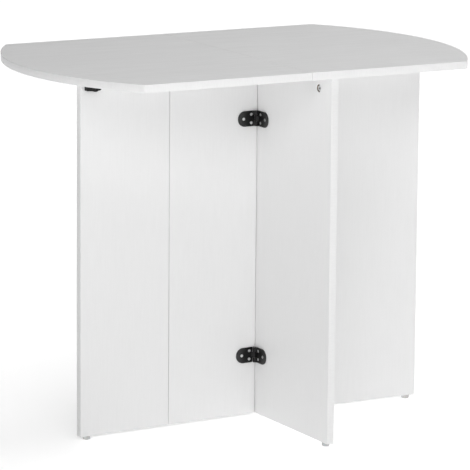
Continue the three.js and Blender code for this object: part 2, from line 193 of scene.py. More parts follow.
def bump(tree, shader, height, distance, normal=None):
    node = tree.nodes.new("ShaderNodeBump")
    node.inputs["Strength"].default_value = 1
    node.inputs["Distance"].default_value = distance
    tree.links.new(height, node.inputs["Height"])
    if normal:
        tree.links.new(normal, node.inputs["Normal"])
    tree.links.new(node.outputs["Normal"], shader.inputs["Normal"])
    return node.outputs["Normal"]


def vary_roughness(tree, shader, source, low, high):
    node = tree.nodes.new("ShaderNodeMapRange")
    node.inputs["To Min"].default_value = low
    node.inputs["To Max"].default_value = high
    tree.links.new(source, node.inputs["Value"])
    tree.links.new(node.outputs["Result"], shader.inputs["Roughness"])


def grey(value):
    return (value, value, value)


def laminate(name, along_x, scale, dark, light):
    """White laminate with a fine grain that runs along the board's local X or Y."""
    material, tree, shader = new_material(name, 0.42)
    long, short = 0.06, 1.0
    stretch = (long, short, short) if along_x else (short, long, short)
    streaks = stretched_noise(tree, stretch, scale, 4)
    fibres = stretched_noise(tree, tuple(s * 2 if s == long else s for s in stretch), 1500, 2)
    clouds = stretched_noise(tree, (1, 1, 1), 9, 2)
    tone = ramp(tree, streaks, grey(dark), grey(light))
    tone = blend(tree, tone, ramp(tree, fibres, grey(0.988), grey(1.0)))
    tone = blend(tree, tone, ramp(tree, clouds, grey(0.992), grey(1.0)))
    tree.links.new(tone, shader.inputs["Base Color"])
    vary_roughness(tree, shader, streaks, 0.36, 0.5)
    first = bump(tree, shader, streaks, 0.05 * MM)
    bump(tree, shader, fibres, 0.02 * MM, normal=first)
    return material


def edge_band_plastic():
    """Smooth white plastic edging with faint rolling marks across it."""
    material, tree, shader = new_material("edge_band_white", 0.45)
    shader.inputs["Specular IOR Level"].default_value = 0.3
    marks = stretched_noise(tree, (1, 1, 0.15), 420, 2)
    tree.links.new(ramp(tree, marks, grey(0.82), grey(0.85)), shader.inputs["Base Color"])
    vary_roughness(tree, shader, marks, 0.4, 0.5)
    bump(tree, shader, marks, 0.015 * MM)
    return material


def chipboard():
    """Raw chipboard, seen only inside drilled holes."""
    material, tree, shader = new_material("raw_chipboard", 0.9)
    chips = stretched_noise(tree, (1, 1, 1), 700, 4, 0.8)
    tone = ramp(tree, chips, (0.2, 0.165, 0.13), (0.44, 0.38, 0.31))
    tree.links.new(tone, shader.inputs["Base Color"])
    bump(tree, shader, chips, 0.3 * MM)
    return material


def black_moulding(name, sheen_from=None):
    """Satin black moulded plastic with a fine grain.

    With a distance given, it is painted greyer beyond that distance from the piece's origin: a painted
    sheen that stands for the light a leaf's outer end reflects.
    """
    material, tree, shader = new_material(name, 0.34)
    shader.inputs["Specular IOR Level"].default_value = 0.22
    grain = stretched_noise(tree, (1, 1, 1), 2200, 2)
    wear = stretched_noise(tree, (1, 1, 1), 130, 3)
    tone = ramp(tree, wear, grey(0.006), grey(0.011))
    if sheen_from:
        # painted sheen: grey added to the black far from the piece's origin, in place of reflected light
        painted_sheen = ramp(tree, nearness(tree, 2 * sheen_from), grey(0.034), grey(0.0), 0.2, 0.5)
        tone = blend(tree, tone, painted_sheen, "ADD")
    tree.links.new(tone, shader.inputs["Base Color"])
    vary_roughness(tree, shader, wear, 0.28, 0.4)
    bump(tree, shader, grain, 0.02 * MM)
    return material


def bare_metal(name, dark, light, roughness, scale):
    """Plated or cast metal with a cloudy surface."""
    material, tree, shader = new_material(name, roughness, metallic=1.0)
    cloud = stretched_noise(tree, (1, 1, 1), scale, 3)
    tree.links.new(ramp(tree, cloud, grey(dark), grey(light)), shader.inputs["Base Color"])
    vary_roughness(tree, shader, cloud, roughness - 0.07, roughness + 0.09)
    bump(tree, shader, cloud, 0.02 * MM)
    return material


def foot_plastic():
    """Pale grey, slightly waxy plastic."""
    material, tree, shader = new_material("foot_plastic_grey", 0.4)
    cloud = stretched_noise(tree, (1, 1, 1), 300, 2)
    tree.links.new(ramp(tree, cloud, grey(0.5), grey(0.6)), shader.inputs["Base Color"])
    shader.inputs["Subsurface Weight"].default_value = 0.15
    shader.inputs["Subsurface Scale"].default_value = 1 * MM
    bump(tree, shader, cloud, 0.02 * MM)
    return material


def beech_wood():
    material, tree, shader = new_material("beech_wood", 0.6)
    fibres = stretched_noise(tree, (1, 1, 0.1), 900, 3)
    tone = ramp(tree, fibres, (0.42, 0.27, 0.14), (0.66, 0.47, 0.29))
    tree.links.new(tone, shader.inputs["Base Color"])
    bump(tree, shader, fibres, 0.05 * MM)
    return material


LAMINATE_X = laminate("laminate_grain_x", True, 120, 0.832, 0.896)
LAMINATE_Y = laminate("laminate_grain_y", False, 260, 0.852, 0.872)
EDGING = edge_band_plastic()
CHIPBOARD = chipboard()
BLACK = black_moulding("black_moulding")
# the leaves' black, with a painted sheen on their outer ends
LEAF_BLACK = black_moulding("black_moulding_painted_sheen", 22 * MM)
STEEL = bare_metal("plated_steel", 0.8, 0.92, 0.38, 900)
ZINC = bare_metal("cast_zinc", 0.66, 0.78, 0.5, 500)
# the same zinc made near black, as painted shade inside the cam's cross slot
ZINC_PAINTED_SHADE = bare_metal("cast_zinc_painted_shade", 0.1, 0.18, 0.6, 500)
FOOT_PLASTIC = foot_plastic()
BEECH = beech_wood()


# ---- Mesh building ----

def to_mesh(name, bm, *materials):
    bmesh.ops.recalc_face_normals(bm, faces=bm.faces)
    mesh = bpy.data.meshes.new(name)
    bm.to_mesh(mesh)
    bm.free()
    for material in materials:
        mesh.materials.append(material)
    return mesh


def smooth(mesh, angle=35):
    """Shades a mesh smooth except where its faces meet at more than an angle, in degrees."""
    mesh.shade_smooth()
    bm = bmesh.new()
    bm.from_mesh(mesh)
    for edge in bm.edges:
        edge.smooth = len(edge.link_faces) == 2 and edge.calc_face_angle(0) < math.radians(angle)
    bm.to_mesh(mesh)
    bm.free()
    return mesh


def add_ring(bm, points):
    return [bm.verts.new(point) for point in points]


def bridge(bm, ring, other):
    """Joins two rings of as many points with a band of quads."""
    count = len(ring)
    for i in range(count):
        j = (i + 1) % count
        bm.faces.new((ring[i], ring[j], other[j], other[i]))


def prism(bm, outline, low, high):
    """A flat-ended solid of an outline in XY, from Z = low to Z = high."""
    bottom = add_ring(bm, [(p.x, p.y, low) for p in outline])
    top = add_ring(bm, [(p.x, p.y, high) for p in outline])
    bm.faces.new(bottom[::-1])
    bm.faces.new(top)
    bridge(bm, bottom, top)
    return bottom, top


def ring_edges(bm, ring):
    """The edges that join each point of a closed ring to the next."""
    pairs = zip(ring, ring[1:] + ring[:1])
    return [bm.edges.get(pair) for pair in pairs]


def soften(bm, edges, radius, segments=3):
    bmesh.ops.bevel(bm, geom=edges, offset=radius, segments=segments, profile=0.5, affect="EDGES")


def turned(bm, profile, steps=32):
    """A piece turned about Z. The profile is (radius, height) points, from the axis to the axis."""
    rings = []
    for radius, height in profile:
        if radius == 0:
            rings.append([bm.verts.new((0, 0, height))])
            continue
        angles = [2 * math.pi * step / steps for step in range(steps)]
        points = [(radius * math.cos(a), radius * math.sin(a), height) for a in angles]
        rings.append(add_ring(bm, points))
    for ring, other in zip(rings, rings[1:]):
        if len(ring) == 1:
            fan(bm, ring[0], other)
        elif len(other) == 1:
            fan(bm, other[0], ring)
        else:
            bridge(bm, ring, other)


def fan(bm, tip, ring):
    for a, b in zip(ring, ring[1:] + ring[:1]):
        bm.faces.new((a, b, tip))


def turned_mesh(name, profile, material, steps=32, angle=35):
    bm = bmesh.new()
    turned(bm, profile, steps)
    return smooth(to_mesh(name, bm, material), angle)


def rod_profile(radius, low, high, ease=0.0):
    """The profile of a plain rod, whose ends are eased by a small chamfer."""
    if not ease:
        return [(0, low), (radius, low), (radius, high), (0, high)]
    return [(0, low), (radius - ease, low), (radius, low + ease), (radius, high - ease),
            (radius - ease, high), (0, high)]


def add_rod(bm, start, end, radius, steps=24):
    """A closed rod between two points, for cutting holes."""
    start, run = Vector(start), Vector(end) - Vector(start)
    first = len(bm.verts)
    turned(bm, rod_profile(radius, 0, run.length), steps)
    bm.verts.ensure_lookup_table()
    turn = Matrix.Translation(start) @ Z.rotation_difference(run).to_matrix().to_4x4()
    bmesh.ops.transform(bm, matrix=turn, verts=bm.verts[first:])


def add_box(bm, low, high):
    """A closed box between two corners."""
    place = Matrix.Translation((Vector(low) + Vector(high)) / 2)
    size = Matrix.Diagonal((*(Vector(high) - Vector(low)), 1))
    bmesh.ops.create_cube(bm, size=1, matrix=place @ size)


def combined(mesh, tool, operation, placing=Matrix()):
    """The mesh joined with the tool mesh, or cut by it. Both are used up."""
    base = bpy.data.objects.new("base", mesh)
    other = bpy.data.objects.new("tool", tool)
    base.matrix_world = placing
    for item in (base, other):
        bpy.context.scene.collection.objects.link(item)
    modifier = base.modifiers.new("combine", "BOOLEAN")
    modifier.operation = operation
    modifier.solver = "EXACT"
    modifier.use_self = operation == "UNION"
    modifier.material_mode = "TRANSFER"
    modifier.object = other
    bpy.context.view_layer.update()
    result = bpy.data.meshes.new_from_object(base.evaluated_get(bpy.context.evaluated_depsgraph_get()))
    result.name = mesh.name
    bpy.data.objects.remove(base)
    bpy.data.objects.remove(other)
    return result


def add_piece(name, mesh, body, placing, nodes=()):
    piece = bpy.data.objects.new(name, mesh)
    bpy.context.scene.collection.objects.link(piece)
    piece.matrix_world = placing
    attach(piece, body)
    if nodes:
        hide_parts(*nodes)


# ---- Boards ----

def arc(centre, radius, start, end, steps):
    angles = [start + (end - start) * step / steps for step in range(steps + 1)]
    return [centre + radius * Vector((math.cos(a), math.sin(a))) for a in angles]


def round_corners(outline, radius, sharp_turn=math.radians(30), steps=5):
    """The same anticlockwise outline with each corner sharper than sharp_turn rounded."""
    result = []
    for i, corner in enumerate(outline):
        before = (corner - outline[i - 1]).normalized()
        after = (outline[(i + 1) % len(outline)] - corner).normalized()
        turn = before.angle_signed(after) * -1
        if turn < sharp_turn:
            result.append(corner)
            continue
        start = corner - before * radius * math.tan(turn / 2)
        centre = start + Vector((-before.y, before.x)) * radius
        first = math.atan2(start.y - centre.y, start.x - centre.x)
        result += arc(centre, radius, first, first + turn, steps)
    return result


def inset(outline, distance):
    """The same anticlockwise outline, drawn in by a distance."""
    result = []
    for i, corner in enumerate(outline):
        before = (corner - outline[i - 1]).normalized()
        after = (outline[(i + 1) % len(outline)] - corner).normalized()
        inward = Vector((-before.y - after.y, before.x + after.x)).normalized()
        spread = inward.dot(Vector((-before.y, before.x)))
        result.append(corner + inward * distance / spread)
    return result


def core_mesh(name, outline, thickness, face):
    bm = bmesh.new()
    prism(bm, inset(outline, BAND + GLUE_LINE), 0, thickness)
    return to_mesh(name, bm, face)


def band_mesh(name, outline, thickness):
    """A strip round the board's edge, with its two long outer edges rounded."""
    turns = [math.radians(angle) for angle in (90, 60, 30, 0)]
    lower = [(BAND_ROUND * (1 - math.cos(turn)), BAND_ROUND * (1 - math.sin(turn))) for turn in turns]
    upper = [(distance, thickness - height) for distance, height in reversed(lower)]
    bm = bmesh.new()
    rings = [add_ring(bm, [(p.x, p.y, height) for p in inset(outline, distance)])
             for distance, height in [(BAND, 0), *lower, *upper, (BAND, thickness)]]
    for ring, other in zip(rings, rings[1:] + rings[:1]):
        bridge(bm, ring, other)
    return smooth(to_mesh(name, bm, EDGING), 32)


def drill(mesh, placing, holes):
    """Cuts round holes, given in the row frame as (start, end, radius), out of a placed mesh."""
    if not holes:
        return mesh
    bm = bmesh.new()
    for start, end, radius in holes:
        add_rod(bm, start, end, radius)
    return combined(mesh, to_mesh("drill", bm, CHIPBOARD), "DIFFERENCE", placing)


def along(node, radius, axis=None):
    """A hole round a CAD node, through the middle of its box along its longest side."""
    low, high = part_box(node)
    size = high - low
    axis = max(range(3), key=lambda i: size[i]) if axis is None else axis
    start = (low + high) / 2
    end = start.copy()
    start[axis] = low[axis] - HOLE_OVERRUN
    end[axis] = high[axis] + HOLE_OVERRUN
    return start, end, radius


def screw_hole(place, length):
    start = place @ Vector((0, -0.5 * MM, 0))
    end = place @ Vector((0, length + HOLE_CLEARANCE, 0))
    return start, end, SHANK_RADIUS + HOLE_CLEARANCE


def board(node, body, outline, thickness, placing, grain, holes, edge_holes=()):
    """A laminated core and the edge band round it, in place of a CAD board."""
    core = drill(core_mesh(node, outline, thickness, grain), placing, [*holes, *edge_holes])
    band = drill(band_mesh(node, outline, thickness), placing, edge_holes)
    add_piece(f"{node}_core", core, body, placing, [node])
    add_piece(f"{node}_edge_band", band, body, placing, [node])


def rectangle(width, height):
    corners = [Vector((0, 0)), Vector((width, 0)), Vector((width, height)), Vector((0, height))]
    return round_corners(corners, PANEL_CORNER)


def upright(node, body, placing, run_axis, holes, edge_holes):
    """An upright board, whose local X runs along the panel and whose local Y points up."""
    low, high = local_box(node, placing)
    if run_axis == "x":
        turn = basis(X, Z, -Y, (low.x, high.y, low.z))
        width, thickness = high.x - low.x, high.y - low.y
    else:
        turn = basis(Y, Z, X, (low.x, low.y, low.z))
        width, thickness = high.y - low.y, high.x - low.x
    outline = rectangle(width, high.z - low.z)
    board(node, body, outline, thickness, placing @ turn, LAMINATE_Y, holes, edge_holes)


def top_half(node, body, side, holes):
    """Half of the top: a straight seam edge, two straight sides and a bowed end."""
    low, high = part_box(node)
    half = high.y
    seam, end = (low.x, high.x) if side > 0 else (high.x, low.x)
    corner = max(abs(v.co.x) for v in frame["nodes"][node].data.vertices if v.co.y > half - 0.1 * MM)
    bow = abs(end) - corner
    radius = (half * half + bow * bow) / (2 * bow)
    sweep = math.asin(half / radius)
    curve = arc(Vector((abs(end) - radius, 0)), radius, -sweep, sweep, 96)
    outline = [Vector((abs(seam) * side * math.copysign(1, seam), -half)), *curve]
    outline.append(Vector((outline[0].x, half)))
    if side < 0:
        outline = [Vector((-p.x, p.y)) for p in reversed(outline)]
    outline = round_corners(outline, SEAM_CORNER, math.radians(80))
    outline = round_corners(outline, TOP_CORNER)
    board(node, body, outline, high.z - low.z, Matrix.Translation((0, 0, low.z)), LAMINATE_X, holes)


# ---- Screws and hinges ----

def screw_mesh(length):
    """A countersunk screw that points along +Y from its flush head, with a cross recess and a thread."""
    pitch, thread_depth = 1.2 * MM, 0.35 * MM
    core = SHANK_RADIUS - thread_depth
    profile = [(0, -0.12 * MM), (HEAD_RADIUS * 0.6, -0.06 * MM), (HEAD_RADIUS - 0.1 * MM, 0.02 * MM),
               (HEAD_RADIUS, 0.15 * MM), (SHANK_RADIUS, HEAD_DEPTH)]
    height = HEAD_DEPTH + 0.6 * MM
    while height < length - 3 * MM:
        profile += [(core, height), (SHANK_RADIUS, height + pitch / 2)]
        height += pitch
    profile += [(core, height), (0, length)]
    bm = bmesh.new()
    turned(bm, profile)
    body = to_mesh(f"screw_{round(length / MM)}", bm, STEEL)
    bm = bmesh.new()
    reach, half, depth = 1.6 * MM, 0.26 * MM, 0.9 * MM
    add_box(bm, (-reach, -half, -1 * MM), (reach, half, depth))
    add_box(bm, (-half, -reach, -1 * MM), (half, reach, depth))
    cross = combined(to_mesh("cross", bm, STEEL), empty_mesh(), "UNION")
    body = combined(body, cross, "DIFFERENCE")
    body.transform(basis(X, -Z, Y))
    return smooth(body)


def empty_mesh():
    """A mesh with nothing in it. Uniting a mesh with it joins that mesh's own overlapping parts."""
    return to_mesh("nothing", bmesh.new())


def leaf_outline(side):
    """The flat outline of a hinge leaf: straight sides and a round end."""
    centre = Vector((LEAF_REACH - LEAF_HALF_WIDTH, 0))
    outline = [Vector((LEAF_START, -LEAF_HALF_WIDTH))]
    outline += arc(centre, LEAF_HALF_WIDTH, -math.pi / 2, math.pi / 2, 28)
    outline.append(Vector((LEAF_START, LEAF_HALF_WIDTH)))
    if side < 0:
        outline = [Vector((-p.x, p.y)) for p in reversed(outline)]
    return outline


def leaf_plate(side):
    """The plate of a leaf. Its front slopes down to a thin rim at the round end."""
    thickness = PLATE_BACK - PLATE_FRONT
    slope_start, rim_drop, edge_round = 17 * MM, 1.1 * MM, 0.45 * MM
    bm = bmesh.new()
    top = prism(bm, leaf_outline(side), 0, thickness)[1]
    soften(bm, ring_edges(bm, top), edge_round)
    steps = 14
    for step in range(steps):
        place = slope_start + (LEAF_REACH - slope_start) * step / steps
        everything = bm.verts[:] + bm.edges[:] + bm.faces[:]
        bmesh.ops.bisect_plane(bm, geom=everything, plane_co=(side * place, 0, 0), plane_no=X)
    for vertex in bm.verts:
        share = max(0, abs(vertex.co.x) - slope_start) / (LEAF_REACH - slope_start)
        if vertex.co.z > thickness / 2:
            vertex.co.z -= rim_drop * share * share
    mesh = to_mesh("plate", bm, LEAF_BLACK)
    mesh.transform(basis(X, Z, -Y, (0, PLATE_BACK, 0)))
    return mesh


def knuckle_spans(has_outer):
    inner = CENTRE_KNUCKLE / 2
    outer = inner + KNUCKLE_GAP
    return [(-LEAF_HALF_WIDTH, -outer), (outer, LEAF_HALF_WIDTH)] if has_outer else [(-inner, inner)]


def knuckles_mesh(side, has_outer):
    """Barrels about the pin, each with a rounded ramp that runs into the plate."""
    ramp = [(0.1 * MM, 3 * MM), (0.1 * MM, -3.3 * MM), (1.8 * MM, -2.9 * MM), (3.4 * MM, -1.6 * MM),
            (4.6 * MM, 0.1 * MM), (6.4 * MM, PLATE_FRONT + 0.1 * MM), (6.4 * MM, PLATE_BACK - 0.4 * MM)]
    section = [Vector((side * x, y)) for x, y in ramp]
    bm = bmesh.new()
    for low, high in knuckle_spans(has_outer):
        turned(bm, rod_profile(KNUCKLE_RADIUS, low, high, 0.35 * MM), 40)
        prism(bm, section, low + 0.2 * MM, high - 0.2 * MM)
    return to_mesh("knuckles", bm, LEAF_BLACK)


def countersinks(side):
    """What the pin and the screws take out of a leaf."""
    bm = bmesh.new()
    add_rod(bm, (0, 0, -20 * MM), (0, 0, 20 * MM), BORE_RADIUS)
    for out, up in LEAF_SCREWS:
        before = len(bm.verts)
        turned(bm, [(0, -2 * MM), (HEAD_RADIUS + 0.3 * MM, -2 * MM), (HEAD_RADIUS + 0.3 * MM, 0.15 * MM),
                    (SHANK_RADIUS + 0.5 * MM, HEAD_DEPTH), (SHANK_RADIUS + 0.5 * MM, 4 * MM), (0, 4 * MM)])
        bm.verts.ensure_lookup_table()
        place = basis(X, -Z, Y, (side * out, PLATE_FRONT, up))
        bmesh.ops.transform(bm, matrix=place, verts=bm.verts[before:])
    return to_mesh("countersinks", bm, LEAF_BLACK)


def leaf_mesh(side, has_outer):
    mesh = combined(leaf_plate(side), knuckles_mesh(side, has_outer), "UNION")
    mesh = combined(mesh, countersinks(side), "DIFFERENCE")
    mesh.name = "hinge_leaf"
    return smooth(mesh, 30)


def screw_places(side, placing):
    return [placing @ Matrix.Translation((side * out, PLATE_FRONT, up)) for out, up in LEAF_SCREWS]


def hinge_places():
    """Each hinge leaf's side, body and placement, and whether it has the two outer knuckles."""
    places = {}
    turns = {
        "gate_frame": Matrix.Rotation(-math.pi / 2, 4, "Z"),
        "gate_gate": Matrix.Rotation(GATE_ANGLE, 4, "Z"),
        "fold": Matrix.Rotation(math.pi + GATE_ANGLE, 4, "Z"),
        "seam": Matrix.Rotation(math.pi / 2, 4, "X"),
    }
    for level in LEVELS:
        gate = Matrix.Translation(middle(f"gate_hinge_{level}_pin"))
        fold = Matrix.Translation(middle(f"fold_hinge_{level}_pin")) @ turns["fold"]
        is_lower = level == "lower"  # the upper gate hinge is fitted the other way up
        places[f"gate_hinge_{level}_frame"] = (1, "frame", gate @ turns["gate_frame"], is_lower)
        places[f"gate_hinge_{level}_gate"] = (-1, "gate_inner", gate @ turns["gate_gate"], not is_lower)
        places[f"fold_hinge_{level}_inner"] = (-1, "gate_inner", fold, False)
        places[f"fold_hinge_{level}_outer"] = (1, "gate_outer", fold, True)
    for end in ENDS:
        seam = Matrix.Translation(middle(f"seam_hinge_{end}_pin")) @ turns["seam"]
        places[f"seam_hinge_{end}_fixed"] = (1, "frame", seam, True)
        places[f"seam_hinge_{end}_drop"] = (-1, "drop_leaf", seam, False)
    return places


HINGES = hinge_places()


def leaf_screw_holes(*prefixes):
    """The pilot holes under the leaves whose names start with one of the prefixes."""
    return [screw_hole(place, SCREW_LENGTH)
            for name, (side, _, placing, _) in HINGES.items() if name.startswith(prefixes)
            for place in screw_places(side, placing)]


def add_hinges():
    kinds = [(side, has_outer) for side in (1, -1) for has_outer in (True, False)]
    leaves = {kind: leaf_mesh(*kind) for kind in kinds}
    screw = screw_mesh(SCREW_LENGTH)
    for name, (side, body, placing, has_outer) in HINGES.items():
        mesh = leaves[side, has_outer]
        add_piece(f"{name}_leaf_moulded", mesh, body, placing, [f"{name}_leaf"])
        for number, place in enumerate(screw_places(side, placing), 1):
            node = f"{name}_screw_{number}"
            stands_for = [node] if node in frame["nodes"] else []
            turn = Matrix.Rotation(math.radians(37 * number), 4, "Y")
            add_piece(f"{node}_fine", screw, body, place @ turn, stands_for)


def add_pins():
    ease = 0.3 * MM
    profile = rod_profile(PIN_RADIUS, -LEAF_HALF_WIDTH, LEAF_HALF_WIDTH, ease)
    pin = turned_mesh("hinge_pin", profile, STEEL, 28)
    holders = (("gate", "frame", LEVELS), ("fold", "outer", LEVELS), ("seam", "fixed", ENDS))
    for kind, holder, names in holders:
        for name in names:
            hinge = f"{kind}_hinge_{name}"
            _, body, placing, _ = HINGES[f"{hinge}_{holder}"]
            add_piece(f"{hinge}_pin_fine", pin, body, placing, [f"{hinge}_pin"])


# ---- Cam locks, bolts, dowels and feet ----

CAM_KINDS = {
    "cross": (-Y, Z, -X),
    "side_top": (-X, Z, Y),
    "side_end": (-Z, -X, Y),
}
CAMS = {
    "cross_near": "cross", "cross_far": "cross",
    "side_top_inner": "side_top", "side_top_outer": "side_top",
    "side_end_lower": "side_end", "side_end_upper": "side_end",
}
CAM_RADIUS = 7.2 * MM
CAM_POCKET = 12.9 * MM
CAM_RECESS = 1 * MM
CAM_THROW = 1.1 * MM  # how far the disc is off the pocket's middle
SLOT_REACH, SLOT_HALF_WIDTH, SLOT_DEPTH = 2.7 * MM, 0.95 * MM, 2.1 * MM
SLOT_ANGLE = math.radians(20)
BOLT_DEPTH = 7.5 * MM  # from the board's face to the middle of the bolt
BOLT_CHANNEL = 4 * MM  # half the width and height of the channel for the bolt's head


def cam_place(name):
    """A cam's placement: its outer face is at local Z = 0, and its bolt arrives along local Y."""
    axes = CAM_KINDS[CAMS[name]]
    low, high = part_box(f"cam_{name}")
    outward = axes[2]
    centre = (low + high) / 2
    half = abs((high - low).dot(outward)) / 2
    return basis(*axes, centre + outward * half)


def cam_mesh():
    """An off-centre zinc cam with a cross slot, open on one side for the bolt's head."""
    depth = CAM_POCKET - CAM_RECESS - 0.3 * MM
    rim = 0.4 * MM
    radius = CAM_RADIUS - CAM_THROW
    bm = bmesh.new()
    turned(bm, [(0, -depth), (radius - rim, -depth), (radius, rim - depth), (radius, -rim),
                (radius - rim, 0), (radius - 3 * rim, 0), (radius - 4 * rim, -rim), (0, -rim)], 48)
    bmesh.ops.translate(bm, verts=bm.verts, vec=X * CAM_THROW)
    body = to_mesh("cam", bm, ZINC)
    bm = bmesh.new()
    middle_depth = CAM_RECESS - BOLT_DEPTH
    add_box(bm, (-BOLT_CHANNEL, -4.2 * MM, middle_depth - BOLT_CHANNEL),
            (BOLT_CHANNEL, 8 * MM, middle_depth + BOLT_CHANNEL))
    body = combined(body, to_mesh("channel", bm, ZINC), "DIFFERENCE")
    for turn in (0, math.pi / 2):
        bm = bmesh.new()
        add_box(bm, (-SLOT_REACH, -SLOT_HALF_WIDTH, -SLOT_DEPTH), (SLOT_REACH, SLOT_HALF_WIDTH, 1 * MM))
        # the slot's walls and floor take the near-black zinc: painted shade in the recess
        slot = to_mesh("slot", bm, ZINC_PAINTED_SHADE)
        slot.transform(Matrix.Translation(X * CAM_THROW) @ Matrix.Rotation(turn + SLOT_ANGLE, 4, "Z"))
        body = combined(body, slot, "DIFFERENCE")
    return smooth(body)


def bolt_mesh(low, high):
    """A cam bolt along Z, from its ball head at low to the end of its thread at high."""
    thread, core, pitch = 2.4 * MM, 1.9 * MM, 1.6 * MM
    shoulder = high - 11 * MM
    profile = [(0, low), (2.2 * MM, low), (3.3 * MM, low + 1.1 * MM), (3.3 * MM, low + 2.2 * MM),
               (2 * MM, low + 3.4 * MM), (2 * MM, low + 7.2 * MM), (3.3 * MM, low + 8.2 * MM),
               (3.3 * MM, shoulder), (core, shoulder + 0.6 * MM)]
    height = shoulder + 1.2 * MM
    while height < high - 1.5 * MM:
        profile += [(thread, height), (core, height + pitch / 2)]
        height += pitch
    profile += [(core * 0.7, high), (0, high)]
    return turned_mesh("cam_bolt", profile, STEEL, 28)


def add_cam_locks():
    cam = cam_mesh()
    for name, kind in CAMS.items():
        add_piece(f"cam_{name}_fine", cam, "frame", cam_place(name), [f"cam_{name}"])
        node = f"cam_bolt_{name}"
        low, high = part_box(node)
        length = max(high - low)
        run = CAM_KINDS[kind][1]
        placing = basis(*Matrix.Identity(3), middle(node))
        placing = placing @ Z.rotation_difference(run).to_matrix().to_4x4()
        add_piece(f"{node}_fine", bolt_mesh(-length / 2, length / 2), "frame", placing, [node])


def dowel_mesh(length, radius):
    """A fluted dowel along Z."""
    flutes, groove, ease = 18, 0.25 * MM, 0.8 * MM
    bm = bmesh.new()
    rings = []
    half = length / 2
    for height, shrink in ((-half, ease), (ease - half, 0), (half - ease, 0), (half, ease)):
        points = []
        for step in range(flutes * 4):
            angle = 2 * math.pi * step / (flutes * 4)
            reach = radius - shrink - (groove if step % 4 == 0 else 0)
            points.append((reach * math.cos(angle), reach * math.sin(angle), height))
        rings.append(add_ring(bm, points))
    bm.faces.new(rings[0][::-1])
    bm.faces.new(rings[-1])
    for ring, other in zip(rings, rings[1:]):
        bridge(bm, ring, other)
    return to_mesh("dowel", bm, BEECH)


DOWELS = (
    "cross_dowel_near", "cross_dowel_far",
    "side_dowel_top", "side_dowel_lower", "side_dowel_upper",
)


def add_dowels():
    for node in DOWELS:
        low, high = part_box(node)
        size = high - low
        run = X if size.x == max(size) else Z
        placing = Matrix.Translation(middle(node)) @ Z.rotation_difference(run).to_matrix().to_4x4()
        mesh = dowel_mesh(max(size), min(size) / 2)
        add_piece(f"{node}_fluted", mesh, "frame", placing, [node])


FEET = {
    "foot_cross_near": "frame", "foot_cross_far": "frame",
    "foot_side": "frame", "foot_gate": "gate_outer",
}


def foot_mesh(radius, height, stem_top):
    """A round glide with a rolled lower edge and a stem that is pressed into the panel."""
    roll, ease = 2.4 * MM, 0.5 * MM
    profile = [(0, 0.5 * MM), (2.2 * MM, 0.5 * MM), (2.8 * MM, 0)]
    profile += [(radius - roll + roll * math.sin(a), roll - roll * math.cos(a))
                for a in (math.radians(10 * step) for step in range(10))]
    profile += [(radius, height - ease), (radius - ease, height), (STEM_RADIUS, height)]
    profile += [(STEM_RADIUS, stem_top - 2 * MM), (0, stem_top)]
    return turned_mesh("foot", profile, FOOT_PLASTIC, 48, 30)


def add_feet():
    panel_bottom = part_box("cross_panel")[0].z
    low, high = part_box("foot_side")
    mesh = foot_mesh((high.x - low.x) / 2, panel_bottom - 0.3 * MM, high.z)
    for node, body in FEET.items():
        centre = middle(node)
        placing = Matrix.Translation((centre.x, centre.y, low.z))
        add_piece(f"{node}_glide", mesh, body, placing, [node])


# ---- The catch on the gate ----

CATCH_NIB = (0.62, 5 * MM, 2.5 * MM)  # share of the width where its middle is, half its width, its drop
CATCH_THICKNESS = 9 * MM


def catch_screw_places():
    return [GATE @ Matrix.Translation(local_top(f"gate_catch_screw_{number}")) for number in (1, 2)]


def local_top(node):
    """The middle of a screw's head, in the gate's frame."""
    low, high = local_box(node, GATE)
    return (low.x + high.x) / 2, low.y, (low.z + high.z) / 2


def add_catch():
    """A rounded block with a thumb nib along its lower edge, and a lug over the gate's top edge."""
    low, high = local_box("gate_catch", GATE)
    share, half_width, drop = CATCH_NIB
    nib, bottom = low.x + share * (high.x - low.x), low.z + drop
    outline = [Vector((low.x, bottom)), Vector((nib - half_width, bottom)),
               Vector((nib - half_width / 2, low.z)), Vector((nib + half_width / 2, low.z)),
               Vector((nib + half_width, bottom)), Vector((high.x, bottom)),
               Vector((high.x, high.z)), Vector((low.x, high.z))]
    outline = round_corners(outline, 1.2 * MM)
    bm = bmesh.new()
    top = prism(bm, outline, 0, CATCH_THICKNESS)[1]
    soften(bm, ring_edges(bm, top), 1 * MM, 4)
    front = to_mesh("catch", bm, BLACK)
    front.transform(basis(X, Z, -Y, (0, low.y + CATCH_THICKNESS, 0)))
    gate_top = local_box("gate_outer_panel", GATE)[1].z
    bm = bmesh.new()
    lug_low = (low.x + 1 * MM, low.y + 4 * MM, gate_top + 0.3 * MM)
    lug_high = (high.x - 1 * MM, high.y, high.z - 0.2 * MM)
    add_box(bm, lug_low, lug_high)
    soften(bm, bm.edges[:], 0.6 * MM)
    body = combined(front, to_mesh("lug", bm, BLACK), "UNION")
    bm = bmesh.new()
    for place in catch_screw_places():
        head = GATE.inverted() @ place @ Vector((0, 0, 0))
        add_rod(bm, head - Y * MM, head + Y * 0.2 * MM, HEAD_RADIUS + 0.25 * MM)
        add_rod(bm, head - Y * MM, head + Y * 20 * MM, SHANK_RADIUS + 0.3 * MM)
    holes = combined(to_mesh("holes", bm, BLACK), empty_mesh(), "UNION")
    body = smooth(combined(body, holes, "DIFFERENCE"), 30)
    add_piece("gate_catch_moulded", body, "gate_outer", GATE, ["gate_catch"])
    screw = screw_mesh(CATCH_SCREW_LENGTH)
    for number, place in enumerate(catch_screw_places(), 1):
        node = f"gate_catch_screw_{number}"
        add_piece(f"{node}_fine", screw, "gate_outer", place, [node])


# ---- All the boards, with their holes ----

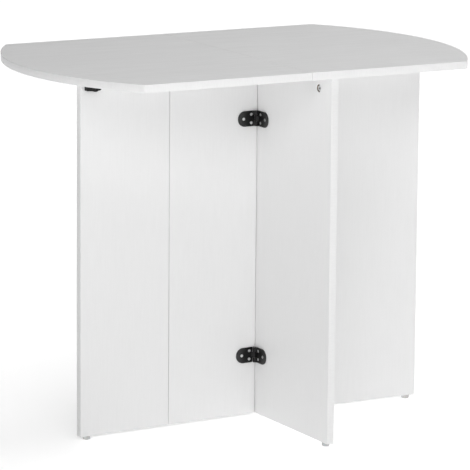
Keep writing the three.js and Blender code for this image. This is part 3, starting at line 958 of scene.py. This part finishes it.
def cam_pockets(kind):
    holes = []
    for name in cams_of(kind):
        place = cam_place(name)
        start, end = place @ Vector((0, 0, 3 * MM)), place @ Vector((0, 0, CAM_RECESS - CAM_POCKET))
        holes.append((start, end, CAM_RADIUS + HOLE_CLEARANCE))
    return holes


def cams_of(kind):
    return [name for name, its_kind in CAMS.items() if its_kind == kind]


def bolt_bores(kind):
    """The bores in a panel's edge that the smooth parts of its cam bolts lie in."""
    return [along(f"cam_bolt_{name}", BOLT_BORE_RADIUS) for name in cams_of(kind)]


def bolt_threads(kind):
    """The narrower holes in the neighbour's face that the same bolts are screwed into."""
    return [along(f"cam_bolt_{name}", BOLT_THREAD_HOLE_RADIUS) for name in cams_of(kind)]


def dowel_holes(*nodes):
    return [along(node, DOWEL_HOLE_RADIUS) for node in nodes]


def stem_holes(*nodes):
    return [along(node, STEM_RADIUS + HOLE_CLEARANCE, axis=2) for node in nodes]


def add_boards():
    top_half("top_fixed_half", "frame", 1, [
        *leaf_screw_holes("seam_hinge_near_fixed", "seam_hinge_far_fixed"),
        *bolt_threads("cross"), *bolt_threads("side_top"), *dowel_holes(*DOWELS[:3]),
    ])
    top_half("top_drop_leaf", "drop_leaf", -1,
             leaf_screw_holes("seam_hinge_near_drop", "seam_hinge_far_drop"))
    upright("cross_panel", "frame", Matrix(), "y", [
        *cam_pockets("cross"), *bolt_threads("side_end"), *dowel_holes(*DOWELS[3:]),
        *leaf_screw_holes("gate_hinge_lower_frame", "gate_hinge_upper_frame"),
    ], [
        *bolt_bores("cross"), *dowel_holes(*DOWELS[:2]),
        *stem_holes("foot_cross_near", "foot_cross_far"),
    ])
    upright("side_panel", "frame", Matrix(), "x", [*cam_pockets("side_top"), *cam_pockets("side_end")], [
        *bolt_bores("side_top"), *bolt_bores("side_end"),
        *dowel_holes(*DOWELS[2:]), *stem_holes("foot_side"),
    ])
    upright("gate_inner_panel", "gate_inner", GATE, "x", leaf_screw_holes(
        "gate_hinge_lower_gate", "gate_hinge_upper_gate",
        "fold_hinge_lower_inner", "fold_hinge_upper_inner",
    ), [])
    upright("gate_outer_panel", "gate_outer", GATE, "x", [
        *leaf_screw_holes("fold_hinge_lower_outer", "fold_hinge_upper_outer"),
        *[screw_hole(place, CATCH_SCREW_LENGTH) for place in catch_screw_places()],
    ], stem_holes("foot_gate"))


# ---- Floor, light and camera ----

FLOOR_HALF = 20
FLOOR_GLOW = 0.5  # the floor glows with painted light, this much near the table and brighter away from it, like a lit sweep of pale material
GLOW_REACH = 3.5


def add_floor():
    bm = bmesh.new()
    turns = ((-1, -1), (1, -1), (1, 1), (-1, 1))
    bm.faces.new(add_ring(bm, [(x * FLOOR_HALF, y * FLOOR_HALF, 0) for x, y in turns]))
    material, tree, shader = new_material("pale_floor", 0.8)
    cloud = stretched_noise(tree, (1, 1, 1), 3, 2)
    tree.links.new(ramp(tree, cloud, grey(0.88), grey(0.9)), shader.inputs["Base Color"])
    shader.inputs["Specular IOR Level"].default_value = 0.1
    # painted light: the floor glows, dimmer near the table and brighter away from it
    glow = ramp(tree, nearness(tree, GLOW_REACH), grey(1.0), grey(FLOOR_GLOW), 0.0, 0.7)
    tree.links.new(glow, shader.inputs["Emission Color"])
    shader.inputs["Emission Strength"].default_value = 1
    floor = bpy.data.objects.new("floor", to_mesh("floor", bm, material))
    bpy.context.scene.collection.objects.link(floor)


# Each soft box: its azimuth from the near side towards the left end, its elevation, its distance
# from the table, its width and height, and its power in watts
SOFT_BOXES = {
    "front_low": (26, 4, 5, (5, 1.4), 19),
    "front_high": (26, 27, 5, (4, 1.4), 64),
    "front_overhead": (10, 60, 4, (4, 2), 32),
    "right_overhead": (-90, 55, 4, (3, 3), 63),
    "overhead": (0, 90, 4, (4, 4), 53),
}
AIM = Vector((0, 0, 0.4))


def add_lights():
    for name, (azimuth, elevation, distance, size, power) in SOFT_BOXES.items():
        turn, rise = math.radians(azimuth), math.radians(elevation)
        level = math.cos(rise)
        away = Vector((-math.sin(turn) * level, -math.cos(turn) * level, math.sin(rise)))
        data = bpy.data.lights.new(name, "AREA")
        data.shape = "RECTANGLE"
        data.size, data.size_y = size
        data.energy = power
        light = bpy.data.objects.new(name, data)
        bpy.context.scene.collection.objects.link(light)
        light.location = AIM + away * distance
        light.rotation_euler = (-away).to_track_quat("-Z", "Y").to_euler()
        light.visible_camera = False


def add_world():
    """A studio that is white to look at, and gives no light of its own."""
    world = bpy.data.worlds.new("studio")
    world.use_nodes = True
    tree = world.node_tree
    background = tree.nodes["Background"]
    background.inputs["Color"].default_value = (1, 1, 1, 1)
    seen = tree.nodes.new("ShaderNodeLightPath")
    tree.links.new(seen.outputs["Is Camera Ray"], background.inputs["Strength"])
    bpy.context.scene.world = world


def add_camera():
    data = bpy.data.cameras.new("camera")
    data.lens = CAMERA_LENS
    data.sensor_width = SENSOR
    data.clip_end = 100
    yaw, pitch, roll = CAMERA_YAW, CAMERA_PITCH, CAMERA_ROLL
    ahead = math.cos(pitch)
    forward = Vector((math.sin(yaw) * ahead, math.cos(yaw) * ahead, -math.sin(pitch)))
    level = Vector((math.cos(yaw), -math.sin(yaw), 0))
    above = level.cross(forward)
    right = level * math.cos(roll) + above * math.sin(roll)
    up = above * math.cos(roll) - level * math.sin(roll)
    camera = bpy.data.objects.new("camera", data)
    camera.matrix_world = basis(right, up, -forward, CAMERA_PLACE)
    bpy.context.scene.collection.objects.link(camera)
    bpy.context.scene.camera = camera
    bpy.context.scene.view_settings.view_transform = "Standard"


add_camera()
add_floor()
add_lights()
add_world()
add_boards()
add_hinges()
add_pins()
add_cam_locks()
add_dowels()
add_feet()
add_catch()
